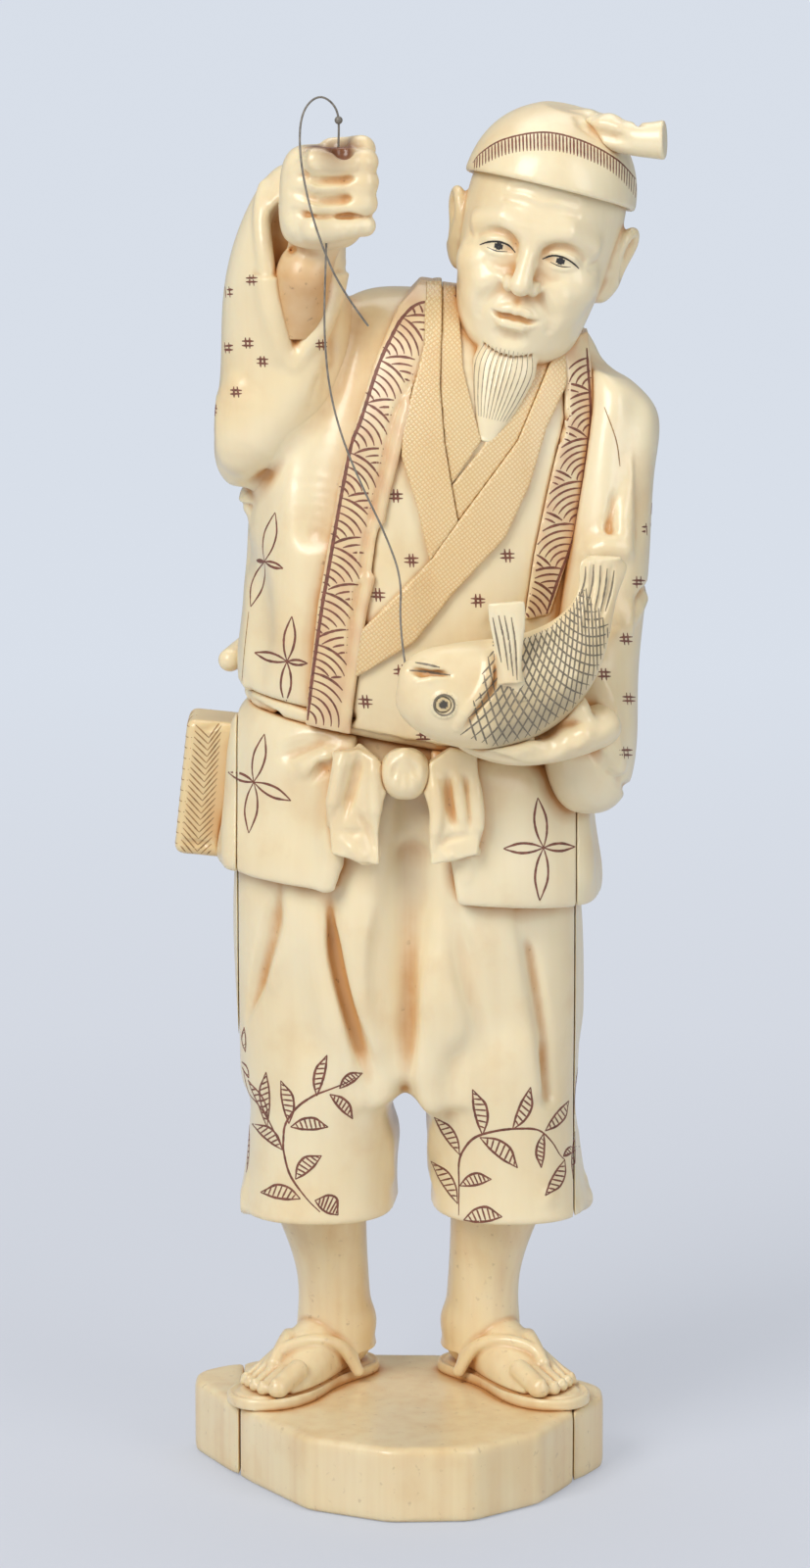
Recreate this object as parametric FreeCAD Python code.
import FreeCAD, Part
import math
import os

# A carved okimono of a fisherman who holds up a line and carries a carp.
# The figure is sectional: carved pieces of ivory, pegged and glued together on a plinth.
# Right and left are the figure's own. +Z is up and the figure faces -Y, in millimetres.
# The origin is the middle of the plinth's underside.

V = FreeCAD.Vector
PARTS = "parts"

# Plinth
PLINTH_WIDTH = 59.2
PLINTH_DEPTH = 50.0
PLINTH_HEIGHT = 10.8
PLINTH_EDGE_RADIUS = 0.6
PLINTH_CORNER_RADIUS = 5.0

# The tusk was not wide enough: the blocks have side pieces glued on at these upright planes
SECTION_WIDTH = 47.6
SECTION_MIDLINE = 1.2

# Feet and sandals
FIGURE_MIDLINE = 1.5
STANCE_AFT = 18.5
STANCE_SPREAD = 7.4
FOOT_TURN = 35.0
SOLE_LENGTH = 28.5
SOLE_WIDTH = 11.5
SOLE_THICKNESS = 1.7
SOLE_EDGE_RADIUS = 0.5
FOOT_LENGTH = 26.0
FOOT_WIDTH = 9.8
FOOT_HEIGHT = 9.0
TOE_RADIUS = 1.15
TOE_LENGTH = 4.6
STRAP_WIDTH = 1.9
STRAP_THICKNESS = 1.2

# Bare legs
LEG_WIDTH = 14.4
LEG_DEPTH = 14.0
LEG_TENON = 7.0
LEG_LEAN_OUT = 2.4
LEG_LEAN_FORWARD = 5.0

# Breeches
HEM_HEIGHT = 38.6
BREECHES_AFT = 7.0
BREECHES_MIDLINE = 2.3
HIP_WIDTH = 51.0
HIP_DEPTH = 34.0
CROTCH_HEIGHT = 55.5
TROUSER_WIDTH = 23.0
TROUSER_DEPTH = 31.0
TROUSER_RISE = 32.0
TROUSER_SPREAD = 13.8

# Jacket skirt and sash
WAIST_HEIGHT = 108.0
WAIST_SIDE = 2.0
WAIST_AFT = 5.5
WAIST_SLOPE = -0.18
SKIRT_WIDTH = 54.5
SKIRT_DEPTH = 39.0
SKIRT_LENGTH = 21.4
SKIRT_GAP_WIDTH = 18.0
SKIRT_GAP_SIDE = -2.5
SASH_HEIGHT = 2.4
SASH_WIDTH = 47.5
SASH_DEPTH = 35.0
KNOT_SIDE = -1.0
KNOT_WIDTH = 6.8
KNOT_DEPTH = 6.0
KNOT_HEIGHT = 7.0
TAIL_WIDTH = 7.0
TAIL_THICKNESS = 2.4
TAIL_LENGTH = 15.5
TAIL_SPREAD = 7.0

# Jacket body and the robe under it
TORSO_WIDTH = 50.0
TORSO_DEPTH = 36.0
TORSO_HEIGHT = 59.0
ROBE_THICKNESS = 1.2
UNDER_COLLAR_THICKNESS = 0.5
COLLAR_THICKNESS = 1.0
LAPEL_THICKNESS = 2.0

# Sleeves
RAISED_SLEEVE_WIDTH = 18.0
RAISED_SLEEVE_DEPTH = 22.0
RAISED_SLEEVE_HEIGHT = 45.0
RAISED_SLEEVE_MOUTH_RADIUS = 5.4
RAISED_SLEEVE_MOUTH_TIP_RADIUS = 1.6
LOW_SLEEVE_WIDTH = 14.4
LOW_SLEEVE_DEPTH = 25.0
LOW_SLEEVE_HEIGHT = 61.0

# Hands
FIST_WIDTH = 13.0
FIST_DEPTH = 10.5
FIST_HEIGHT = 14.0
FINGER_RADIUS = 1.85
FINGER_PITCH = 2.9
WRIST_RADIUS = 3.5
PALM_LENGTH = 17.0
PALM_WIDTH = 10.8
PALM_THICKNESS = 5.6
THUMB_RADIUS = 2.0

# Carp
FISH_LENGTH = 35.0
FISH_HEIGHT = 15.0
FISH_THICKNESS = 10.0
FIN_LENGTH = 11.0
FIN_WIDTH = 5.4
FIN_THICKNESS = 1.7
EYE_RADIUS = 1.15
EYE_DEPTH = 0.9

# Head and cap
HEAD_WIDTH = 22.8
HEAD_DEPTH = 26.5
HEAD_HEIGHT = 35.0
HEAD_TILT = 13.0
HEAD_TURN = -6.0
HEAD_NOD = 4.0
NECK_RADIUS = 7.0
NECK_LENGTH = 9.0
NOSE_RADIUS = 2.1
EAR_HEIGHT = 10.5
EAR_WIDTH = 5.6
EAR_THICKNESS = 2.8
EAR_SPLAY = 28.0
BEARD_LENGTH = 12.0
BEARD_WIDTH = 8.0
BEARD_THICKNESS = 4.4
CAP_THICKNESS = 0.9
CAP_TAIL_LENGTH = 11.5
CAP_TAIL_RADIUS = 2.5

# Creel and pipe case at the right hip
CREEL_WIDTH = 8.6
CREEL_DEPTH = 12.0
CREEL_HEIGHT = 19.5
CREEL_EDGE_RADIUS = 1.2
CREEL_LEAN = 6.0
PIPE_CASE_RADIUS = 2.5
PIPE_CASE_LENGTH = 14.0
PIPE_CASE_TIP_RADIUS = 1.7

# Fishing line
LINE_DIAMETER = 0.3
LINE_KNOT_RADIUS = 0.55
LINE_HOLE_CLEARANCE = 0.05

# Pegs and the glue film round them
FOOT_PEG_RADIUS = 1.2
FOOT_PEG_DEPTH = 5.0
WAIST_PEG_RADIUS = 4.0
WAIST_PEG_DEPTH = 11.0
NECK_PEG_RADIUS = 2.2
NECK_PEG_DEPTH = 6.0
SHOULDER_PEG_RADIUS = 1.5
SHOULDER_PEG_DEPTH = 4.0
WRIST_PEG_RADIUS = 1.1
WRIST_PEG_DEPTH = 3.4
FISH_PEG_RADIUS = 0.9
FISH_PEG_DEPTH = 2.6
CREEL_PEG_RADIUS = 1.2
CREEL_PEG_DEPTH = 3.4
PEG_CLEARANCE = 0.05

# One overrun for every cut that has to pass a face
OVERRUN = 60.0

RING_POINTS = 12


def ring(centre, half_width, half_depth, squareness=2.0, slope=0.0):
    """A closed smooth outline in a near level plane; slope is its rise along +X."""
    points = []
    for k in range(RING_POINTS):
        angle = 2 * math.pi * k / RING_POINTS
        c, s = math.cos(angle), math.sin(angle)
        x = half_width * math.copysign(abs(c) ** (2 / squareness), c)
        y = half_depth * math.copysign(abs(s) ** (2 / squareness), s)
        points.append(V(centre.x + x, centre.y + y, centre.z + slope * x))
    curve = Part.BSplineCurve()
    curve.interpolate(points, PeriodicFlag=True)
    return Part.Wire([curve.toShape()])


class Form:
    """A rounded solid through level rings, in shares of its own width, depth and height.

    Each row holds up, side, aft, half width, half depth, squareness and slope.
    """

    def __init__(self, foot, width, depth, height, ring_shares):
        self.foot, self.width, self.depth, self.height = foot, width, depth, height
        self.ring_shares = ring_shares

    def point(self, side_share, aft_share, up_share):
        return self.foot + V(self.width * side_share, self.depth * aft_share, self.height * up_share)

    def solid(self, growth=0.0):
        wires = []
        for up, side, aft, wide, deep, squareness, slope in self.ring_shares:
            centre = self.point(side, aft, up) + V(0, 0, growth * (2 * up - 1))
            half_width, half_depth = wide * self.width + growth, deep * self.depth + growth
            wires.append(ring(centre, half_width, half_depth, squareness, slope))
        return Part.makeLoft(wires, True, False)


def spine_loft(origin, length, width, depth, row_shares, side):
    """A rounded solid whose rings stand square to a bent centre line.

    Each row holds x, y and z in shares of the length, then half width and half depth.
    """
    centres = [origin + V(x, y, z) * length for x, y, z, _, _ in row_shares]
    wires = []
    for k, (_, _, _, wide, deep) in enumerate(row_shares):
        along = (centres[min(k + 1, len(centres) - 1)] - centres[max(k - 1, 0)]).normalize()
        u = (side - along * side.dot(along)).normalize()
        v = along.cross(u)
        points = []
        for n in range(RING_POINTS):
            angle = 2 * math.pi * n / RING_POINTS
            across, through = wide * width * math.cos(angle), deep * depth * math.sin(angle)
            points.append(centres[k] + u * across + v * through)
        curve = Part.BSplineCurve()
        curve.interpolate(points, PeriodicFlag=True)
        wires.append(Part.Wire([curve.toShape()]))
    return Part.makeLoft(wires, True, False)


def pod(start, end, start_radius, end_radius):
    """A capsule that tapers from one round end to the other."""
    axis = end - start
    length = axis.Length
    a = V(0, 0, -start_radius)
    b = V(start_radius, 0, 0)
    c = V(end_radius, 0, length)
    d = V(0, 0, length + end_radius)
    low = Part.Arc(a, V(start_radius * math.sqrt(0.5), 0, -start_radius * math.sqrt(0.5)), b).toShape()
    high = Part.Arc(c, V(end_radius * math.sqrt(0.5), 0, length + end_radius * math.sqrt(0.5)), d).toShape()
    outline = Part.Wire([low, Part.makeLine(b, c), high, Part.makeLine(d, a)])
    body = Part.Face(outline).revolve(V(0, 0, 0), V(0, 0, 1), 360)
    body.Placement = FreeCAD.Placement(start, FreeCAD.Rotation(V(0, 0, 1), axis))
    return body


def rod(start, end, radius):
    axis = end - start
    return Part.makeCylinder(radius, axis.Length, start, axis)


def plate(points, thickness):
    """A flat outline in the XZ plane, pushed towards the front by its thickness."""
    return Part.Face(Part.makePolygon(points + points[:1])).extrude(V(0, -thickness, 0))


def turned(shape, centre, about_x=0.0, about_y=0.0, about_z=0.0):
    """The shape turned about its own point: first about X, then Y, then Z."""
    for angle, axis in ((about_x, V(1, 0, 0)), (about_y, V(0, 1, 0)), (about_z, V(0, 0, 1))):
        if angle:
            shape = shape.rotated(centre, axis, angle)
    return shape


def mirrored(shape, side):
    """The right limb as modelled, or its left twin across the figure's midline."""
    return shape if side < 0 else shape.mirror(V(FIGURE_MIDLINE, 0, 0), V(1, 0, 0))


def largest(shape):
    """The main body of a cut, without the crumbs that the cut leaves."""
    return max(shape.Solids, key=lambda solid: solid.Volume)


# Plinth


PLINTH_OUTLINE_SHARES = [
    (-1.00, 0.43), (-0.79, -0.08), (-0.44, -0.74), (-0.05, -0.98), (0.35, -0.96), (0.68, -0.63), (1.00, 0.10),
    (1.00, 0.33), (0.64, 0.84), (0.20, 1.00), (-0.18, 1.01), (-0.62, 0.93), (-0.88, 0.76), (-1.00, 0.64),
]
UPRIGHT_SHARE = 0.99


def base_plinth():
    """The slab of tusk: a rounded lozenge with short facets, softened along its top rim."""
    corners = [V(PLINTH_WIDTH / 2 * x, PLINTH_DEPTH / 2 * y, 0) for x, y in PLINTH_OUTLINE_SHARES]
    block = Part.Face(Part.makePolygon(corners + corners[:1])).extrude(V(0, 0, PLINTH_HEIGHT))
    upright = [e for e in block.Edges if abs(e.tangentAt(e.FirstParameter).z) > UPRIGHT_SHARE]
    block = block.makeFillet(PLINTH_CORNER_RADIUS, upright)
    rim = [e for e in block.Edges if min(v.Z for v in e.Vertexes) > PLINTH_HEIGHT - PLINTH_EDGE_RADIUS]
    block = block.makeFillet(PLINTH_EDGE_RADIUS, rim)
    return block.cut(peg_holes(foot_peg_lines(), FOOT_PEG_RADIUS))


def sections(block):
    """A block's right side piece, middle and left side piece, parted at the glued planes."""
    right = SECTION_MIDLINE - SECTION_WIDTH / 2
    left = SECTION_MIDLINE + SECTION_WIDTH / 2
    beyond_right = Part.makeBox(OVERRUN, OVERRUN * 2, OVERRUN * 4, V(right - OVERRUN, -OVERRUN, -OVERRUN))
    beyond_left = Part.makeBox(OVERRUN, OVERRUN * 2, OVERRUN * 4, V(left, -OVERRUN, -OVERRUN))
    middle = largest(block.cut([beyond_right, beyond_left]))
    return largest(block.common(beyond_right)), middle, largest(block.common(beyond_left))


# Feet, sandals and legs


def foot_frame(shape):
    """Sets a shape made along +X from the heel at the right foot's place and turn."""
    heel = V(FIGURE_MIDLINE - STANCE_SPREAD, STANCE_AFT, PLINTH_HEIGHT)
    turn = FreeCAD.Rotation(V(0, 0, 1), -90 - FOOT_TURN)
    moved = shape.copy()
    moved.Placement = FreeCAD.Placement(heel, turn).multiply(shape.Placement)
    return moved


def foot_point(along_share, side_share, up):
    turn = FreeCAD.Rotation(V(0, 0, 1), -90 - FOOT_TURN)
    local = V(FOOT_LENGTH * along_share, FOOT_WIDTH * side_share, up)
    return V(FIGURE_MIDLINE - STANCE_SPREAD, STANCE_AFT, PLINTH_HEIGHT) + turn.multVec(local)


SOLE_OUTLINE_SHARES = [(-0.09, 0.0), (0.02, 0.36), (0.35, 0.38), (0.7, 0.52), (0.93, 0.36)]
SOLE_TIP_SHARE = 1.0


def sandal_sole():
    upper = [V(SOLE_LENGTH * x, SOLE_WIDTH * y, 0) for x, y in SOLE_OUTLINE_SHARES[1:]]
    lower = [V(p.x, -p.y, 0) for p in reversed(upper)]
    heel = V(SOLE_LENGTH * SOLE_OUTLINE_SHARES[0][0], 0, 0)
    tip = V(SOLE_LENGTH * SOLE_TIP_SHARE, 0, 0)
    curve = Part.BSplineCurve()
    curve.interpolate([heel] + upper + [tip] + lower, PeriodicFlag=True)
    sole = Part.Face(Part.Wire([curve.toShape()])).extrude(V(0, 0, SOLE_THICKNESS))
    rims = [e for e in sole.Edges if e.isClosed() and e.BoundBox.ZMin > SOLE_THICKNESS / 2]
    return sole.makeFillet(SOLE_EDGE_RADIUS, rims)


STRAP_SHARES = [
    (0.30, 0.56, 0.0), (0.42, 0.44, 0.52), (0.56, 0.20, 0.66), (0.70, -0.06, 0.52), (0.76, -0.12, 0.28),
]
STRAP_HALF_SHARE = 0.5


def sandal_straps():
    """The V of the thong: from both sides of the instep to the gap behind the great toe."""
    arms = []
    for flip in (1, -1):
        rows = []
        for x, y, z in STRAP_SHARES:
            side = y if flip > 0 else -y if y > 0 else y
            across, up = side * FOOT_WIDTH / FOOT_LENGTH, z * FOOT_HEIGHT / FOOT_LENGTH
            rows.append((x, across, up, STRAP_HALF_SHARE, STRAP_HALF_SHARE))
        foot = V(0, 0, SOLE_THICKNESS)
        arms.append(spine_loft(foot, FOOT_LENGTH, STRAP_WIDTH, STRAP_THICKNESS, rows, V(1, 0, 0)))
    return arms


def sandal(side):
    sole = mirrored(foot_frame(sandal_sole()), side)
    return sole.cut(peg_holes(foot_peg_lines(), FOOT_PEG_RADIUS))


FOOT_ROW_SHARES = [
    (0.00, 0.0, 0.28, 0.22, 0.24),
    (0.05, 0.0, 0.34, 0.36, 0.40),
    (0.22, 0.0, 0.42, 0.42, 0.60),
    (0.45, 0.0, 0.26, 0.46, 0.56),
    (0.65, 0.0, 0.12, 0.52, 0.40),
    (0.80, 0.0, 0.06, 0.52, 0.26),
    (0.88, 0.0, 0.04, 0.48, 0.18),
]
TOE_SHARES = [
    (0.86, 0.36, 1.35), (0.87, 0.13, 1.0), (0.84, -0.07, 0.95), (0.80, -0.25, 0.9), (0.75, -0.41, 0.85),
]
ANKLE_SHARE = 0.20
ANKLE_UP_SHARE = 0.3
LEG_RING_SHARES = [
    (0.00, 0.0, 0.00, 0.40, 0.46, 2.0, 0.0),
    (0.14, 0.0, 0.00, 0.38, 0.42, 2.0, 0.0),
    (0.34, 0.02, 0.0, 0.36, 0.38, 2.0, 0.0),
    (0.60, -0.02, 0.0, 0.42, 0.42, 2.0, 0.0),
    (0.82, -0.07, 0.0, 0.50, 0.48, 2.0, 0.0),
    (1.00, -0.12, 0.0, 0.52, 0.52, 2.0, 0.0),
]
TOE_LIFT_SHARE = 0.8


def foot():
    """The bare foot with its five toes, flat on the sole."""
    rows = []
    for x, y, z, wide, deep in FOOT_ROW_SHARES:
        rows.append((x, y, z * FOOT_HEIGHT / FOOT_LENGTH, wide, deep))
    body = spine_loft(V(0, 0, SOLE_THICKNESS), FOOT_LENGTH, FOOT_WIDTH, FOOT_HEIGHT, rows, V(0, 1, 0))
    toes = []
    for x, y, size in TOE_SHARES:
        radius = TOE_RADIUS * size
        tip = V(FOOT_LENGTH * x + TOE_LENGTH / 2, FOOT_WIDTH * y, SOLE_THICKNESS + radius * TOE_LIFT_SHARE)
        root = tip + V(-TOE_LENGTH, 0, radius)
        toes.append(pod(root, tip, radius, radius))
    whole = body.multiFuse(toes)
    below = Part.makeBox(OVERRUN * 2, OVERRUN * 2, OVERRUN, V(-OVERRUN, -OVERRUN, SOLE_THICKNESS - OVERRUN))
    return foot_frame(whole.cut(below))


def bare_leg(side):
    """The calf, the foot and the thong over it, carved in one."""
    ankle = foot_point(ANKLE_SHARE, 0, SOLE_THICKNESS + FOOT_HEIGHT * ANKLE_UP_SHARE)
    top = HEM_HEIGHT + LEG_TENON
    calf_rings = []
    for up, across, aft, wide, deep, squareness, slope in LEG_RING_SHARES:
        across_now = across - LEG_LEAN_OUT / LEG_WIDTH * up
        aft_now = aft - LEG_LEAN_FORWARD / LEG_DEPTH * up
        calf_rings.append((up, across_now, aft_now, wide, deep, squareness, slope))
    calf = Form(ankle, LEG_WIDTH, LEG_DEPTH, top - ankle.z, calf_rings).solid()
    whole = mirrored(calf.multiFuse([foot()] + [foot_frame(strap) for strap in sandal_straps()]), side)
    return largest(whole.cut(peg_holes(foot_peg_lines(), FOOT_PEG_RADIUS)))


FOOT_PEG_SHARES = (0.16, 0.62)


def foot_peg_lines():
    lines = []
    for along in FOOT_PEG_SHARES:
        top = foot_point(along, 0, SOLE_THICKNESS + FOOT_PEG_RADIUS)
        low = V(top.x, top.y, PLINTH_HEIGHT - FOOT_PEG_DEPTH)
        other_x = 2 * FIGURE_MIDLINE - low.x
        lines.append((low, top))
        lines.append((V(other_x, low.y, low.z), V(other_x, top.y, top.z)))
    return lines


def peg_holes(lines, radius):
    holes = []
    for start, end in lines:
        along = (end - start).normalize() * PEG_CLEARANCE
        holes.append(rod(start - along, end + along, radius + PEG_CLEARANCE))
    return holes[0].fuse(holes[1:]) if len(holes) > 1 else holes[0]


def pegs(lines, radius):
    return Part.makeCompound([rod(start, end, radius) for start, end in lines])


# Breeches, skirt and sash

TROUSER_RING_SHARES = [
    (0.00, 0.00, 0.00, 0.50, 0.49, 2.4, 0.0),
    (0.10, 0.01, 0.00, 0.48, 0.475, 2.4, 0.0),
    (0.50, 0.07, 0.00, 0.485, 0.50, 2.3, 0.0),
    (1.00, 0.12, 0.00, 0.46, 0.47, 2.2, 0.0),
]
HIP_RING_SHARES = [
    (0.00, -0.01, 0.00, 0.475, 0.47, 2.6, 0.0),
    (0.30, -0.015, 0.00, 0.490, 0.50, 2.6, -0.02),
    (0.65, -0.02, -0.02, 0.48, 0.50, 2.5, -0.08),
    (1.00, 0.00, -0.04, 0.42, 0.45, 2.4, WAIST_SLOPE),
]
SKIRT_RING_SHARES = [
    (0.00, -0.01, 0.00, 0.500, 0.495, 2.5, -0.10),
    (0.35, 0.000, 0.00, 0.485, 0.485, 2.5, -0.11),
    (0.72, 0.000, 0.00, 0.470, 0.475, 2.4, -0.14),
    (0.92, 0.000, 0.00, 0.450, 0.460, 2.4, -0.17),
    (1.00, 0.000, 0.00, 0.425, 0.440, 2.4, WAIST_SLOPE),
]
SASH_RING_SHARES = [
    (0.00, 0.00, 0.00, 0.485, 0.480, 2.4, WAIST_SLOPE),
    (0.50, 0.00, 0.00, 0.500, 0.500, 2.4, WAIST_SLOPE),
    (1.00, 0.00, 0.00, 0.485, 0.480, 2.4, WAIST_SLOPE),
]


# Main folds cut into the cloth: where each starts and ends, and its radius
BREECHES_FOLDS = [
    ((2.0, -11.2, 92.0), (1.1, -9.8, 57.0), 2.2),
    ((-9.6, -10.3, 85.0), (-3.1, -9.5, 57.0), 1.8),
    ((18.0, -8.3, 78.0), (21.9, -6.3, 57.0), 1.8),
    ((2.0, 24.4, 94.0), (2.0, 23.9, 57.0), 2.2),
    ((14.3, 22.3, 92.0), (5.0, 24.5, 64.0), 1.8),
    ((-12.3, 22.4, 92.0), (-3.0, 24.4, 64.0), 1.8),
]
JACKET_FOLDS = [
    ((20.5, 20.5, 150.0), (8.0, 23.4, 138.0), 2.4),
    ((8.0, 23.4, 138.0), (-6.0, 23.6, 128.0), 2.4),
    ((-15.0, 17.9, 148.0), (-8.0, 22.8, 132.0), 2.2),
]


def folds(rows):
    return [pod(V(*start), V(*end), radius, radius) for start, end, radius in rows]


def waist_point():
    return V(WAIST_SIDE, WAIST_AFT, WAIST_HEIGHT)


def trouser_leg(side):
    foot_of_leg = V(BREECHES_MIDLINE + side * TROUSER_SPREAD, BREECHES_AFT, HEM_HEIGHT)
    rows = [(r[0], -side * r[1]) + r[2:] for r in TROUSER_RING_SHARES]
    return Form(foot_of_leg, TROUSER_WIDTH, TROUSER_DEPTH, TROUSER_RISE, rows).solid()


def breeches_block():
    foot_of_hips = V(BREECHES_MIDLINE, BREECHES_AFT, CROTCH_HEIGHT)
    hips = Form(foot_of_hips, HIP_WIDTH, HIP_DEPTH, WAIST_HEIGHT - CROTCH_HEIGHT, HIP_RING_SHARES).solid()
    return hips.multiFuse([trouser_leg(-1), trouser_leg(1)])


def skirt_form():
    foot_of_skirt = waist_point() - V(0, 0, SKIRT_LENGTH)
    return Form(foot_of_skirt, SKIRT_WIDTH, SKIRT_DEPTH, SKIRT_LENGTH, SKIRT_RING_SHARES)


SKIRT_GAP_SHARES = [
    (-0.54, -0.3), (0.54, -0.3), (0.44, 0.25), (0.30, 0.8),
    (0.24, 1.3), (-0.24, 1.3), (-0.34, 0.7), (-0.42, 0.25),
]


def jacket_skirt(block):
    shell = skirt_form().solid().cut(block)
    middle = skirt_form().point(0, 0, 0)
    corners = []
    for side, up in SKIRT_GAP_SHARES:
        corners.append(middle + V(SKIRT_GAP_SIDE + side * SKIRT_GAP_WIDTH, 0, up * SKIRT_LENGTH))
    return largest(shell.cut(plate(corners, OVERRUN)))


def sash():
    return Form(waist_point(), SASH_WIDTH, SASH_DEPTH, SASH_HEIGHT, SASH_RING_SHARES).solid()


KNOT_ROW_SHARES = [(0.00, 0.16), (0.10, 0.34), (0.35, 0.48), (0.65, 0.50), (0.90, 0.36), (1.00, 0.18)]
KNOT_SQUARENESS = 2.4
KNOT_UP_SHARE = -0.48
KNOT_AFT_SHARE = -0.56
TAIL_OUTLINE_SHARES = [
    (-0.80, -0.20), (-0.10, 0.00), (0.42, -0.05), (0.50, -0.66),
    (0.45, -0.95), (-0.05, -1.00), (-0.50, -1.04),
    (-0.45, -0.60),
]


def knot_centre():
    return waist_point() + V(KNOT_SIDE, SASH_DEPTH * KNOT_AFT_SHARE, KNOT_HEIGHT * KNOT_UP_SHARE)


def sash_knot(*behind):
    rows = [(up, 0.0, 0.0, wide, wide, KNOT_SQUARENESS, 0.0) for up, wide in KNOT_ROW_SHARES]
    low = knot_centre() - V(0, 0, KNOT_HEIGHT / 2)
    return seated(Form(low, KNOT_WIDTH, KNOT_DEPTH, KNOT_HEIGHT, rows).solid(), *behind)


def seated(shape, *carriers):
    """A piece cut to lie against what carries it, face to face."""
    for carrier in carriers:
        shape = shape.cut(carrier)
    return largest(shape)


def sash_tail(side, *behind):
    """A hanging end of the sash, laid on the front of the skirt."""
    top = knot_centre() + V(side * TAIL_SPREAD, 0, KNOT_HEIGHT / 2)
    outline = []
    for across, up in TAIL_OUTLINE_SHARES:
        outline.append(V(top.x + side * across * TAIL_WIDTH, 0, top.z + up * TAIL_LENGTH))
    layer = plate(outline, OVERRUN).common(skirt_form().solid(TAIL_THICKNESS))
    return seated(layer.cut(skirt_form().solid()), *behind)


# Jacket body, robe, collars and lapels

TORSO_RING_SHARES = [
    (0.00, 0.00, 0.00, 0.490, 0.480, 2.4, WAIST_SLOPE),
    (0.15, 0.01, 0.00, 0.492, 0.490, 2.4, -0.18),
    (0.35, 0.03, 0.00, 0.495, 0.480, 2.4, -0.18),
    (0.54, 0.06, 0.00, 0.480, 0.460, 2.4, -0.18),
    (0.74, 0.115, 0.01, 0.440, 0.425, 2.3, -0.18),
    (0.87, 0.145, 0.02, 0.395, 0.355, 2.2, -0.17),
    (0.95, 0.16, 0.03, 0.330, 0.265, 2.1, -0.15),
    (0.99, 0.18, 0.04, 0.210, 0.160, 2.0, -0.12),
]
POUCH_RING_SHARES = [
    (-0.05, 0.02, 0.00, 0.465, 0.455, 2.4, WAIST_SLOPE),
    (-0.02, 0.02, 0.00, 0.500, 0.500, 2.4, WAIST_SLOPE),
    (0.05, 0.02, 0.00, 0.520, 0.545, 2.4, WAIST_SLOPE),
    (0.14, 0.02, 0.00, 0.525, 0.550, 2.4, WAIST_SLOPE),
    (0.28, 0.02, 0.00, 0.500, 0.500, 2.4, WAIST_SLOPE),
]


def torso_form():
    foot_of_torso = waist_point() + V(0, 0, SASH_HEIGHT)
    return Form(foot_of_torso, TORSO_WIDTH, TORSO_DEPTH, TORSO_HEIGHT, TORSO_RING_SHARES)


def pouch_form():
    form = torso_form()
    return Form(form.foot, form.width, form.depth, form.height, POUCH_RING_SHARES)


# Outlines on the chest: side and up shares of the torso's width and height, from its foot
ROBE_SHARES = [
    (-0.22, -0.10), (0.54, -0.16), (0.54, 0.20), (0.40, 0.43),
    (0.45, 0.70), (0.46, 1.00), (0.06, 1.10), (0.02, 0.94),
    (-0.05, 0.80), (-0.10, 0.636), (-0.15, 0.45), (-0.20, 0.13),
]
RIGHT_LAPEL_SHARES = [
    (-0.30, -0.01), (-0.176, -0.04), (-0.154, 0.13), (-0.10, 0.453),
    (-0.05, 0.636), (0.00, 0.80), (0.07, 0.943),
    (0.09, 1.10), (-0.037, 0.985), (-0.104, 0.86), (-0.15, 0.735), (-0.20, 0.586), (-0.26, 0.297),
]
LEFT_LAPEL_SHARES = [
    (0.31, 0.26), (0.38, 0.27), (0.442, 0.427), (0.48, 0.586), (0.505, 0.753), (0.488, 0.92), (0.42, 0.90),
    (0.42, 0.725), (0.376, 0.568), (0.336, 0.41),
]
LEFT_COLLAR_SHARES = [
    (0.43, 0.81), (0.37, 0.708), (0.324, 0.578), (0.256, 0.456),
    (0.112, 0.327), (0.006, 0.212), (-0.156, 0.129),
    (-0.156, 0.227), (0.048, 0.403), (0.126, 0.495), (0.29, 0.68), (0.418, 0.93),
]
RIGHT_COLLAR_SHARES = [
    (0.048, 0.403), (0.126, 0.495), (0.112, 0.558), (0.088, 0.68),
    (0.076, 0.807), (0.086, 1.10), (0.04, 1.10),
    (0.03, 0.90), (-0.026, 0.708), (-0.03, 0.647), (0.01, 0.54),
]
LEFT_UNDER_COLLAR_SHARES = [
    (0.126, 0.495), (0.29, 0.68), (0.418, 0.93), (0.37, 0.93), (0.19, 0.663), (0.10, 0.57),
]
RIGHT_UNDER_COLLAR_SHARES = [
    (0.10, 0.57), (0.19, 0.68), (0.174, 0.732), (0.14, 0.846),
    (0.12, 1.10), (0.086, 1.10), (0.076, 0.807), (0.088, 0.68),
]


def chest_plate(outline_shares):
    form = torso_form()
    corners = [form.point(side, 0, up) for side, up in outline_shares]
    return plate(corners, OVERRUN)


def chest_layer(outline_shares, outer, *carriers):
    """A layer of cloth on the chest, between what carries it and a grown torso."""
    return seated(chest_plate(outline_shares).common(outer), *carriers)


def inner_robe(outer, *carriers):
    """The robe's front with its pouch that bulges over the sash."""
    sheet = chest_plate(ROBE_SHARES).common(outer.fuse(pouch_form().solid()))
    return seated(sheet, *carriers)


# Sleeves

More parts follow.
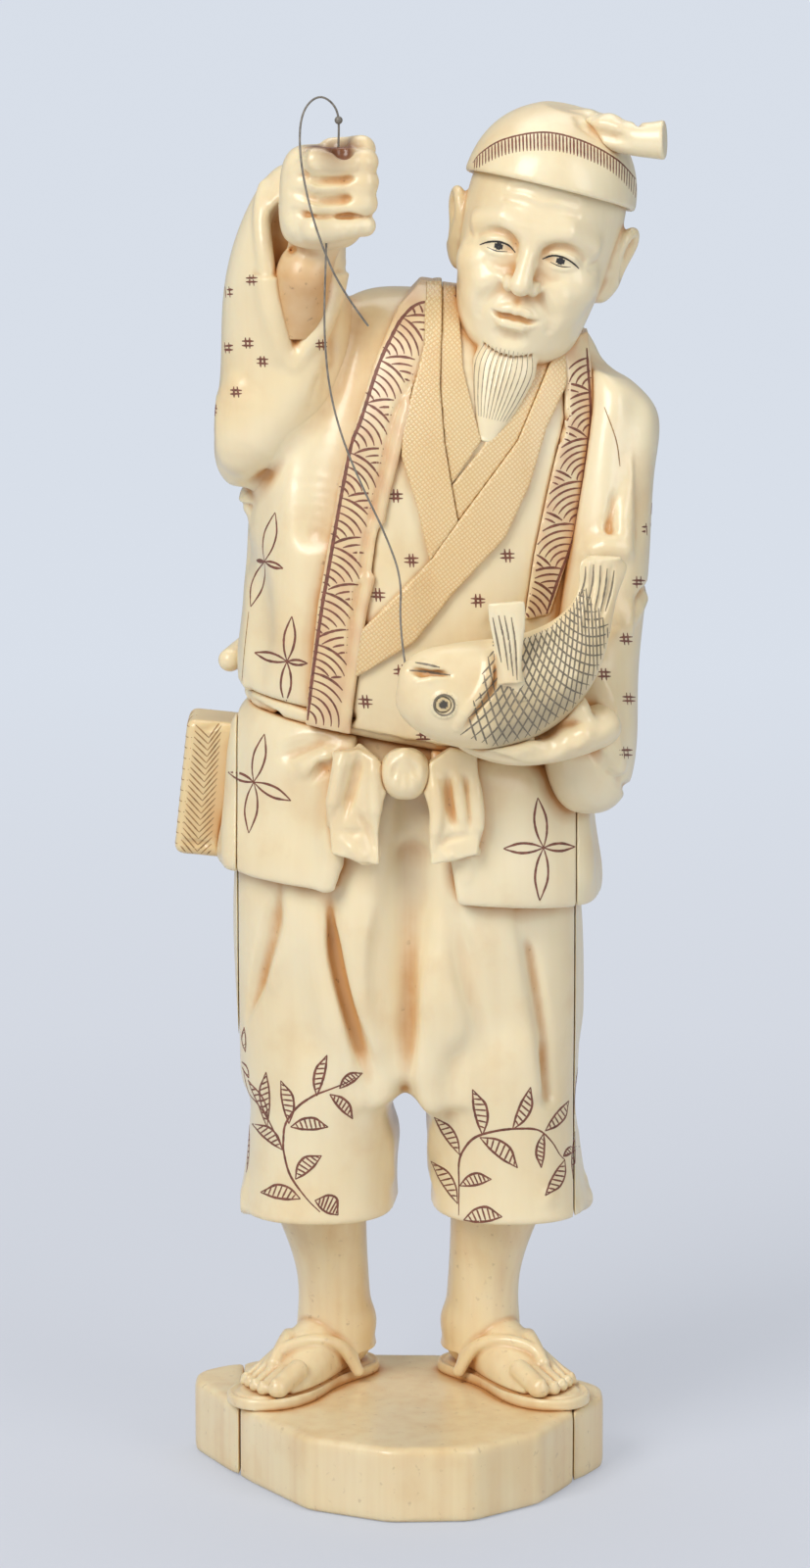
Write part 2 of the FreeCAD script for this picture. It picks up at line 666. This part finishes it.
RAISED_SLEEVE_FOOT_SHARES = (-0.47, -0.12, 0.55)
RAISED_SLEEVE_RING_SHARES = [
    (0.00, 0.00, 0.00, 0.10, 0.10, 2.0, 0.0),
    (0.04, 0.01, 0.00, 0.20, 0.19, 2.0, 0.0),
    (0.15, 0.08, 0.00, 0.31, 0.32, 2.1, 0.0),
    (0.35, 0.29, 0.00, 0.47, 0.42, 2.2, 0.0),
    (0.60, 0.32, -0.06, 0.47, 0.43, 2.2, 0.0),
    (0.80, 0.38, -0.12, 0.41, 0.38, 2.1, 0.0),
    (0.93, 0.41, -0.15, 0.28, 0.27, 2.0, 0.0),
    (1.00, 0.41, -0.16, 0.10, 0.10, 2.0, 0.0),
]
LOW_SLEEVE_FOOT_SHARES = (0.50, -0.24, -0.21)
LOW_SLEEVE_RING_SHARES = [
    (0.00, -0.02, -0.05, 0.16, 0.18, 2.2, 0.0),
    (0.03, -0.02, -0.05, 0.33, 0.32, 2.3, 0.0),
    (0.13, -0.02, -0.04, 0.46, 0.45, 2.4, 0.0),
    (0.30, 0.00, 0.00, 0.46, 0.46, 2.4, 0.0),
    (0.55, 0.10, 0.10, 0.46, 0.46, 2.4, 0.0),
    (0.78, 0.18, 0.16, 0.44, 0.42, 2.3, 0.0),
    (0.91, 0.26, 0.17, 0.40, 0.36, 2.1, -0.30),
    (1.00, 0.14, 0.17, 0.22, 0.20, 2.0, -0.35),
]


def raised_sleeve_form():
    foot_of_sleeve = torso_form().point(*RAISED_SLEEVE_FOOT_SHARES)
    size = (RAISED_SLEEVE_WIDTH, RAISED_SLEEVE_DEPTH, RAISED_SLEEVE_HEIGHT)
    return Form(foot_of_sleeve, *size, RAISED_SLEEVE_RING_SHARES)


def low_sleeve_form():
    foot_of_sleeve = torso_form().point(*LOW_SLEEVE_FOOT_SHARES)
    size = (LOW_SLEEVE_WIDTH, LOW_SLEEVE_DEPTH, LOW_SLEEVE_HEIGHT)
    return Form(foot_of_sleeve, *size, LOW_SLEEVE_RING_SHARES)


MOUTH_TOP_SHARES = (0.45, -0.50, 0.80)
MOUTH_TIP_SHARES = (0.40, -0.45, 0.46)


def right_sleeve(*carriers):
    """The raised sleeve, hollowed at the front where the forearm comes out."""
    form = raised_sleeve_form()
    top, tip = form.point(*MOUTH_TOP_SHARES), form.point(*MOUTH_TIP_SHARES)
    mouth = pod(top, tip, RAISED_SLEEVE_MOUTH_RADIUS, RAISED_SLEEVE_MOUTH_TIP_RADIUS)
    return seated(form.solid().cut(mouth), *carriers)


def left_sleeve(*carriers):
    return seated(low_sleeve_form().solid(), *carriers)


# Hands

FIST_SHARES = (0.66, -0.62, 0.76)
FIST_RING_SHARES = [
    (0.00, -0.06, 0.06, 0.22, 0.22, 2.2, 0.0),
    (0.06, -0.06, 0.05, 0.36, 0.36, 2.3, 0.0),
    (0.25, -0.04, 0.02, 0.46, 0.46, 2.5, 0.0),
    (0.60, 0.00, 0.00, 0.50, 0.50, 2.6, 0.0),
    (0.88, 0.02, 0.02, 0.46, 0.44, 2.5, 0.0),
    (1.00, 0.04, 0.04, 0.32, 0.30, 2.2, 0.0),
]
FINGER_ROOT_SHARES = (-0.10, -0.42)
FINGER_TIP_SHARES = (0.40, -0.30)
FIRST_FINGER_UP_SHARE = 0.86
LATER_FINGER_SHARE = 0.06
FINGERS = 4


def fist_form():
    foot_of_fist = raised_sleeve_form().point(*FIST_SHARES)
    return Form(foot_of_fist, FIST_WIDTH, FIST_DEPTH, FIST_HEIGHT, FIST_RING_SHARES)


THUMB_SHARES = ((0.05, 0.30, 0.92), (0.36, -0.02, 0.96))
WRIST_ROOT_SHARES = (-0.05, 0.12, 0.22)
WRIST_END_SHARES = (-0.36, 0.62, -0.50)


def right_hand():
    """The closed fist, with its four fingers, thumb and forearm."""
    form = fist_form()
    parts = []
    for k in range(FINGERS):
        drop = V(0, 0, -FINGER_PITCH * k)
        root = form.point(*FINGER_ROOT_SHARES, FIRST_FINGER_UP_SHARE) + drop
        tip = form.point(*FINGER_TIP_SHARES, FIRST_FINGER_UP_SHARE) + drop
        parts.append(pod(root, tip, FINGER_RADIUS, FINGER_RADIUS * (1 - LATER_FINGER_SHARE * k)))
    root, tip = (form.point(*shares) for shares in THUMB_SHARES)
    parts.append(pod(root, tip, THUMB_RADIUS, THUMB_RADIUS))
    root, end = form.point(*WRIST_ROOT_SHARES), form.point(*WRIST_END_SHARES)
    parts.append(pod(root, end, WRIST_RADIUS, WRIST_RADIUS))
    return form.solid().multiFuse(parts)


PALM_ROW_SHARES = [
    (-0.62, -0.06, 0.20, 0.18, 0.26),
    (-0.55, -0.05, 0.16, 0.36, 0.44),
    (-0.25, -0.02, 0.02, 0.46, 0.50),
    (0.10, 0.00, 0.00, 0.50, 0.50),
    (0.38, 0.06, 0.06, 0.50, 0.52),
    (0.58, 0.26, 0.12, 0.42, 0.56),
]
PALM_SHARES = (-0.64, -0.62, 0.19)
THUMB_ROOT_SHARES = (0.36, -0.04, 0.28)
THUMB_TIP_SHARES = (0.02, -0.22, 0.36)
THUMB_SWELL_SHARES = (1.2, 0.85)


def palm_point():
    return low_sleeve_form().point(*PALM_SHARES)


def left_hand():
    palm = spine_loft(palm_point(), PALM_LENGTH, PALM_WIDTH, PALM_THICKNESS, PALM_ROW_SHARES, V(0, 1, 0))
    thumb_root = palm_point() + V(*THUMB_ROOT_SHARES) * PALM_LENGTH
    thumb_tip = palm_point() + V(*THUMB_TIP_SHARES) * PALM_LENGTH
    root_radius, tip_radius = (THUMB_RADIUS * share for share in THUMB_SWELL_SHARES)
    return palm.fuse(pod(thumb_root, thumb_tip, root_radius, tip_radius))


# Carp

FISH_ROW_SHARES = [
    (-0.46, -0.10, 0.035, 0.12, 0.10),
    (-0.43, -0.10, 0.030, 0.26, 0.24),
    (-0.32, -0.09, 0.00, 0.42, 0.42),
    (-0.14, -0.06, -0.02, 0.50, 0.50),
    (0.05, -0.03, 0.02, 0.47, 0.48),
    (0.20, 0.00, 0.13, 0.36, 0.36),
    (0.285, 0.03, 0.26, 0.24, 0.22),
    (0.325, 0.05, 0.38, 0.21, 0.13),
    (0.342, 0.06, 0.46, 0.25, 0.09),
    (0.345, 0.06, 0.51, 0.22, 0.05),
]
FISH_SHARES = (-0.10, -0.12, 0.48)
FIN_ROOT_SHARES = (-0.02, -0.19, 0.05)
FIN_TIP_SHARES = (-0.04, -0.20, 0.27)
FISH_EYE_SHARES = (-0.285, -0.09, -0.035)


def fish_point():
    return palm_point() + V(*FISH_SHARES) * PALM_LENGTH


def fish_place(shares):
    return fish_point() + V(*shares) * FISH_LENGTH


def fish():
    return spine_loft(fish_point(), FISH_LENGTH, FISH_HEIGHT, FISH_THICKNESS, FISH_ROW_SHARES, V(0, 0, 1))


FIN_ROW_SHARES = [(0.00, 0.30, 0.60), (0.40, 0.34, 0.50), (0.80, 0.46, 0.46), (1.00, 0.46, 0.34)]


def fish_fin(body):
    root = fish_place(FIN_ROOT_SHARES)
    lean = (fish_place(FIN_TIP_SHARES) - root) * (1 / FIN_LENGTH)
    rows = [(lean.x * along, lean.y * along, along, wide, deep) for along, wide, deep in FIN_ROW_SHARES]
    return seated(spine_loft(root, FIN_LENGTH, FIN_WIDTH, FIN_THICKNESS, rows, V(1, 0, 0)), body)


def fish_eyes(body):
    """Round inlays let into both cheeks, and the sockets that they fill."""
    eyes, sockets = [], []
    for side in (-1, 1):
        centre = fish_place(FISH_EYE_SHARES)
        cheek = V(centre.x, centre.y + side * FISH_THICKNESS, centre.z)
        bar = rod(cheek, cheek - V(0, side * FISH_THICKNESS, 0), EYE_RADIUS)
        seat = body.common(bar).optimalBoundingBox(False)
        face = seat.YMin if side < 0 else seat.YMax
        inner = V(centre.x, face - side * EYE_DEPTH, centre.z)
        sockets.append(rod(inner, inner + V(0, side * FISH_THICKNESS, 0), EYE_RADIUS))
        eyes.append(body.common(sockets[-1]))
    return Part.makeCompound([solid for eye in eyes for solid in eye.Solids]), sockets[0].fuse(sockets[1])


# Head and cap

HEAD_RING_SHARES = [
    (0.00, 0.0, -0.20, 0.12, 0.10, 2.0, 0.0),
    (0.05, 0.0, -0.15, 0.24, 0.22, 2.0, 0.0),
    (0.16, 0.0, -0.07, 0.37, 0.36, 2.1, 0.0),
    (0.32, 0.0, -0.01, 0.45, 0.44, 2.2, 0.0),
    (0.50, 0.0, 0.02, 0.48, 0.485, 2.2, 0.0),
    (0.68, 0.0, 0.03, 0.49, 0.50, 2.2, 0.0),
    (0.83, 0.0, 0.03, 0.43, 0.45, 2.1, 0.0),
    (0.94, 0.0, 0.03, 0.29, 0.31, 2.0, 0.0),
    (1.00, 0.0, 0.03, 0.12, 0.13, 2.0, 0.0),
]
NECK_SHARES = (0.295, -0.02, 0.90)
CHIN_OVER_NECK_SHARE = 0.08
HEAD_FORWARD_SHARE = 0.14
CAP_EDGE_SHARES = (0.69, 0.20)


def neck_point():
    return torso_form().point(*NECK_SHARES)


def head_form():
    foot_of_head = neck_point() + V(0, -HEAD_DEPTH * HEAD_FORWARD_SHARE, -HEAD_HEIGHT * CHIN_OVER_NECK_SHARE)
    return Form(foot_of_head, HEAD_WIDTH, HEAD_DEPTH, HEAD_HEIGHT, HEAD_RING_SHARES)


def posed(shape):
    """The head's nod, tilt and turn about the root of the neck."""
    return turned(shape, neck_point(), about_x=HEAD_NOD, about_y=HEAD_TILT, about_z=HEAD_TURN)


EAR_SHARES = (0.49, 0.02, 0.45)
NOSE_TOP_SHARES = (0.0, -0.42, 0.53)
NOSE_TIP_SHARES = (0.0, -0.50, 0.36)
BEARD_ROW_SHARES = [
    (0.0, -0.02, 0.14, 0.30, 0.5),
    (0.0, -0.07, 0.00, 0.50, 0.5),
    (0.0, -0.20, -0.35, 0.44, 0.45),
    (0.0, -0.34, -0.72, 0.28, 0.36),
    (0.0, -0.44, -1.00, 0.08, 0.16),
]
BEARD_SHARES = (0.0, -0.33, 0.09)
EAR_SQUARENESS = 2.0
EAR_ROW_SHARES = [
    (0.0, 0.25, 0.20), (0.12, 0.45, 0.40), (0.50, 0.50, 0.50), (0.85, 0.45, 0.42), (1.0, 0.25, 0.22),
]
NOSE_BRIDGE_SHARE = 0.55
NECK_LEAN_SHARE = -0.2
NECK_REACH_SHARE = 1.6


def ear(side):
    form = head_form()
    across, aft, up = EAR_SHARES
    rings = [(up, 0.0, 0.0, wide, deep, EAR_SQUARENESS, 0.0) for up, wide, deep in EAR_ROW_SHARES]
    foot_of_ear = form.point(side * across, aft, up) - V(0, 0, EAR_HEIGHT / 2)
    lobe = Form(foot_of_ear, EAR_THICKNESS, EAR_WIDTH, EAR_HEIGHT, rings).solid()
    return turned(lobe, foot_of_ear, about_z=side * EAR_SPLAY)


def head():
    form = head_form()
    bridge, tip = form.point(*NOSE_TOP_SHARES), form.point(*NOSE_TIP_SHARES)
    nose = pod(bridge, tip, NOSE_RADIUS * NOSE_BRIDGE_SHARE, NOSE_RADIUS)
    chin = form.point(*BEARD_SHARES)
    beard = spine_loft(chin, BEARD_LENGTH, BEARD_WIDTH, BEARD_THICKNESS, BEARD_ROW_SHARES, V(1, 0, 0))
    skull = posed(form.solid().multiFuse([nose, ear(-1), ear(1), beard]))
    foot_of_neck = neck_point() - V(0, 0, NECK_LENGTH / 2)
    reach = V(0, NECK_LENGTH * NECK_LEAN_SHARE, NECK_LENGTH * NECK_REACH_SHARE)
    neck = rod(foot_of_neck, foot_of_neck + reach, NECK_RADIUS)
    return skull.fuse(neck)


def cap(head_solid):
    """The cloth cap: the crown of the head grown by the cloth, above a slanting edge."""
    form = head_form()
    edge_up, edge_rise = CAP_EDGE_SHARES
    low = form.point(0, 0, edge_up)
    crown = form.solid(CAP_THICKNESS)
    below = Part.makeBox(OVERRUN * 2, OVERRUN * 2, OVERRUN, low - V(OVERRUN, OVERRUN, OVERRUN))
    below = below.rotated(low, V(1, 0, 0), -math.degrees(math.atan(edge_rise)))
    return seated(posed(crown.cut(below)), head_solid)


CAP_TAIL_ROOT_SHARES = (0.12, -0.14, 0.99)
CAP_TAIL_ROW_SHARES = [
    (0.00, 0.00, -0.12, 0.75, 0.80),
    (0.30, -0.05, -0.02, 0.82, 0.90),
    (0.62, -0.10, 0.00, 0.88, 0.92),
    (0.85, -0.12, 0.04, 0.98, 1.00),
    (1.00, -0.13, 0.08, 1.12, 1.12),
]


def cap_tail(*carriers):
    root = head_form().point(*CAP_TAIL_ROOT_SHARES)
    size = (CAP_TAIL_LENGTH, CAP_TAIL_RADIUS, CAP_TAIL_RADIUS)
    tail = spine_loft(root, *size, CAP_TAIL_ROW_SHARES, V(0, 1, 0))
    return seated(posed(tail), *carriers)


# Creel and pipe case

CREEL_SHARES = (-0.545, 0.22, 0.10)
CREEL_PEG_SIDE_SHARE = -0.47
CREEL_PEG_UP_SHARE = 0.45
PIPE_CASE_SHARES = (-0.52, 0.22, 0.10)
PIPE_CASE_LEAN_SHARES = (0.35, 0.90, 0.10)


def creel(*carriers):
    corner = skirt_form().point(*CREEL_SHARES)
    middle = corner - V(CREEL_WIDTH / 2, CREEL_DEPTH / 2, 0)
    box = Part.makeBox(CREEL_WIDTH, CREEL_DEPTH, CREEL_HEIGHT, middle)
    box = box.makeFillet(CREEL_EDGE_RADIUS, box.Edges).rotated(corner, V(0, 1, 0), CREEL_LEAN)
    return seated(box, *carriers)


def pipe_case(*carriers):
    end = torso_form().point(*PIPE_CASE_SHARES)
    start = end + V(*PIPE_CASE_LEAN_SHARES) * PIPE_CASE_LENGTH
    return seated(pod(start, end, PIPE_CASE_RADIUS, PIPE_CASE_TIP_RADIUS), *carriers)


# Fishing line

ARC_SETBACK_SHARE = 0.45


def tube_path(points):
    """Straight runs joined by the largest tangent arcs that their lengths leave room for."""
    edges, radii, start = [], [], points[0]
    for k in range(1, len(points) - 1):
        before, after = points[k] - points[k - 1], points[k + 1] - points[k]
        shorter = min(before.Length, after.Length)
        a, b = V(before).normalize(), V(after).normalize()
        half_turn = a.getAngle(b) / 2
        setback = ARC_SETBACK_SHARE * shorter
        radius = setback / math.tan(half_turn)
        leave, arrive = points[k] - a * setback, points[k] + b * setback
        middle = points[k] + (b - a).normalize() * (radius / math.cos(half_turn) - radius)
        edges.append(Part.makeLine(start, leave))
        edges.append(Part.Arc(leave, middle, arrive).toShape())
        radii.append(radius)
        start = arrive
    edges.append(Part.makeLine(start, points[-1]))
    return Part.Wire(edges), radii


def tube(points, diameter):
    path, radii = tube_path(points)
    along = (points[1] - points[0]).normalize()
    profile = Part.Wire([Part.Circle(points[0], along, diameter / 2).toShape()])
    solid = path.makePipeShell([profile], True, True)
    section = math.pi * diameter * diameter / 4
    print("line", round(path.Length, 2), "radii", [round(r, 2) for r in radii])
    print("  volume over section times length", round(solid.Volume / (section * path.Length), 4))
    return solid


# The route of the line, in millimetres: from the fist down to the carp's mouth
DROP_ROUTE = [
    (-9.6, -15.6, 179.6), (-9.9, -16.6, 173.0), (-10.0, -17.2, 165.5),
    (-9.3, -17.4, 158.0), (-7.4, -17.6, 151.0),
    (-4.6, -17.8, 144.5), (-1.6, -18.2, 138.4), (0.6, -19.0, 132.4), (0.2, -20.6, 126.6), (1.0, -22.6, 121.4),
]
# The springy upper end: out of the fist, over the knot in a loop and down in front of the fist
LOOP_ROUTE = [
    (-8.2, -14.4, 188.2), (-7.9, -14.8, 192.8), (-8.1, -15.4, 196.4),
    (-10.6, -16.4, 198.3), (-13.0, -18.0, 196.0),
    (-13.3, -19.8, 191.0), (-12.2, -21.0, 184.5), (-10.2, -21.2, 178.0),
    (-7.6, -20.0, 172.0), (-4.0, -18.0, 167.0),
]
LINE_KNOT_RUN = 1
LINE_HOLE_SHARE = 0.45


def route(places):
    return [V(*place) for place in places]


def line_hole(start, towards):
    """The hole that an end of the line sits in, open towards the line's next point."""
    end = start + (towards - start) * LINE_HOLE_SHARE
    return rod(start, end, LINE_DIAMETER / 2 + LINE_HOLE_CLEARANCE)


def line_knot(line, points):
    middle = (points[LINE_KNOT_RUN] + points[LINE_KNOT_RUN + 1]) * 0.5
    return Part.makeSphere(LINE_KNOT_RADIUS, middle).cut(line)


# Pegs inside

SHOULDER_PEG_SHARES = (((0.20, 0.10, 0.33), (-0.16, 0.00, 0.80)), ((0.45, 0.20, 0.72), (0.38, 0.05, 0.55)))


def waist_peg_line():
    top = waist_point() + V(0, 0, SASH_HEIGHT)
    return waist_point() - V(0, 0, WAIST_PEG_DEPTH), top + V(0, 0, WAIST_PEG_DEPTH)


def neck_peg_line():
    joint = neck_point() - V(0, 0, NECK_LENGTH / 2)
    return joint - V(0, 0, NECK_PEG_DEPTH), joint + V(0, 0, NECK_PEG_DEPTH)


def middle_rod(a, b, reach):
    """A peg's line through the middle of two points, with the same reach each way."""
    middle, along = (a + b) * 0.5, (b - a).normalize()
    return middle - along * reach, middle + along * reach


def shoulder_peg_lines():
    lines = []
    sleeves = (raised_sleeve_form(), low_sleeve_form())
    for form, (sleeve_shares, torso_shares) in zip(sleeves, SHOULDER_PEG_SHARES):
        ends = form.point(*sleeve_shares), torso_form().point(*torso_shares)
        lines.append(middle_rod(*ends, SHOULDER_PEG_DEPTH))
    return lines


def wrist_peg_lines():
    fist = fist_form()
    raised = fist.point(*WRIST_END_SHARES)
    raised_axis = (raised - fist.point(*WRIST_ROOT_SHARES)).normalize()
    low = palm_point() + V(*PALM_ROW_SHARES[-1][:3]) * PALM_LENGTH
    low_axis = (low - palm_point() - V(*PALM_ROW_SHARES[-2][:3]) * PALM_LENGTH).normalize()
    lines = []
    for end, axis in ((raised + raised_axis * WRIST_RADIUS, raised_axis), (low, low_axis)):
        lines.append((end - axis * WRIST_PEG_DEPTH, end + axis * WRIST_PEG_DEPTH))
    return lines


def fish_peg_line():
    belly = fish_place(FISH_ROW_SHARES[4][:3]) - V(0, 0, FISH_HEIGHT * FISH_ROW_SHARES[4][3])
    return belly - V(0, 0, FISH_PEG_DEPTH), belly + V(0, 0, FISH_PEG_DEPTH)


def creel_peg_line():
    inner = skirt_form().point(CREEL_PEG_SIDE_SHARE, CREEL_SHARES[1], CREEL_PEG_UP_SHARE)
    return inner - V(CREEL_PEG_DEPTH, 0, 0), inner + V(CREEL_PEG_DEPTH, 0, 0)


SECTION_NAMES = ("right_{1}_side", "{0}", "left_{1}_side")


def main():
    os.makedirs(PARTS, exist_ok=True)
    made = {}

    for name, block in zip(SECTION_NAMES, sections(base_plinth())):
        made[name.format("base_plinth", "plinth")] = block
    for name, side in (("right", -1), ("left", 1)):
        made[name + "_sandal"] = sandal(side)
        made[name + "_leg"] = bare_leg(side)
    made["foot_pegs"] = pegs(foot_peg_lines(), FOOT_PEG_RADIUS)

    block = breeches_block()
    waist_hole = peg_holes([waist_peg_line()], WAIST_PEG_RADIUS)
    made["waist_peg"] = pegs([waist_peg_line()], WAIST_PEG_RADIUS)
    creel_hole = peg_holes([creel_peg_line()], CREEL_PEG_RADIUS)
    made["creel_peg"] = pegs([creel_peg_line()], CREEL_PEG_RADIUS)
    made["sash"] = sash().cut(waist_hole)
    breeches = block.cut([made["right_leg"], made["left_leg"], made["sash"], waist_hole, creel_hole])
    breeches = breeches.cut(folds(BREECHES_FOLDS))
    skirt = largest(jacket_skirt(block).cut(creel_hole))
    for name, piece in zip(SECTION_NAMES, sections(breeches)):
        made[name.format("breeches", "breeches")] = piece
    for name, piece in zip(SECTION_NAMES, sections(skirt)):
        made[name.format("jacket_skirt", "skirt")] = piece
    lower = [breeches, skirt, made["sash"]]

    head_block = head()
    torso = torso_form().solid()
    shoulder_holes = peg_holes(shoulder_peg_lines(), SHOULDER_PEG_RADIUS)
    neck_hole = peg_holes([neck_peg_line()], NECK_PEG_RADIUS)
    made["shoulder_pegs"] = pegs(shoulder_peg_lines(), SHOULDER_PEG_RADIUS)
    made["neck_peg"] = pegs([neck_peg_line()], NECK_PEG_RADIUS)
    body = torso.cut([waist_hole, shoulder_holes, neck_hole, head_block] + folds(JACKET_FOLDS))
    made["jacket_body"] = largest(body)
    made["head"] = largest(head_block.cut(neck_hole))

    robe_outer = torso_form().solid(ROBE_THICKNESS)
    under_outer = torso_form().solid(ROBE_THICKNESS + UNDER_COLLAR_THICKNESS)
    collar_outer = torso_form().solid(ROBE_THICKNESS + COLLAR_THICKNESS)
    lapel_outer = torso_form().solid(LAPEL_THICKNESS)
    below = [torso, head_block] + lower
    made["right_lapel"] = chest_layer(RIGHT_LAPEL_SHARES, lapel_outer, *below)
    made["left_lapel"] = chest_layer(LEFT_LAPEL_SHARES, lapel_outer, *below)
    below += [made["right_lapel"], made["left_lapel"]]
    made["inner_robe"] = inner_robe(robe_outer, *below)
    below += [made["inner_robe"]]
    for name, outline, outer in (
        ("left_collar", LEFT_COLLAR_SHARES, collar_outer),
        ("right_collar", RIGHT_COLLAR_SHARES, collar_outer),
        ("left_under_collar", LEFT_UNDER_COLLAR_SHARES, under_outer),
        ("right_under_collar", RIGHT_UNDER_COLLAR_SHARES, under_outer),
    ):
        made[name] = chest_layer(outline, outer, *below)
        below += [made[name]]

    made["sash_knot"] = sash_knot(*below)
    below += [made["sash_knot"]]
    for name, side in (("right", -1), ("left", 1)):
        made["sash_tail_" + name] = sash_tail(side, *below)
        below += [made["sash_tail_" + name]]

    wrist_holes = peg_holes(wrist_peg_lines(), WRIST_PEG_RADIUS)
    made["wrist_pegs"] = pegs(wrist_peg_lines(), WRIST_PEG_RADIUS)
    made["right_sleeve"] = right_sleeve(*below, shoulder_holes, wrist_holes)
    made["left_sleeve"] = left_sleeve(*below, shoulder_holes, wrist_holes)
    drop, loop = route(DROP_ROUTE), route(LOOP_ROUTE)
    made["line_drop"] = tube(drop, LINE_DIAMETER)
    made["line_loop"] = tube(loop, LINE_DIAMETER)
    made["line_knot"] = line_knot(made["line_loop"], loop)
    fist_holes = [line_hole(drop[0], drop[1]), line_hole(loop[0], loop[1])]
    made["right_hand"] = seated(right_hand(), made["right_sleeve"], wrist_holes, *fist_holes)

    fish_hole = peg_holes([fish_peg_line()], FISH_PEG_RADIUS)
    made["fish_peg"] = pegs([fish_peg_line()], FISH_PEG_RADIUS)
    fish_block = fish()
    eyes, sockets = fish_eyes(fish_block)
    made["fish_eyes"] = eyes
    made["fish_fin"] = fish_fin(fish_block)
    made["fish"] = largest(fish_block.cut([fish_hole, sockets, line_hole(drop[-1], drop[-2])]))
    made["left_hand"] = seated(left_hand(), fish_block, made["left_sleeve"], wrist_holes, fish_hole, *below)

    made["cap"] = cap(head_block)
    made["cap_tail"] = cap_tail(made["cap"], head_block)
    made["creel"] = creel(*below, creel_hole)
    made["pipe_case"] = pipe_case(*below, made["right_sleeve"], made["creel"], torso)

    for name, shape in made.items():
        box = shape.BoundBox
        print(name, shape.isValid(), len(shape.Solids), round(shape.Volume, 1), end=" ")
        print([round(v, 1) for v in (box.XMin, box.XMax, box.YMin, box.YMax, box.ZMin, box.ZMax)])
        shape.exportStep(os.path.join(PARTS, name + ".step"))


main()
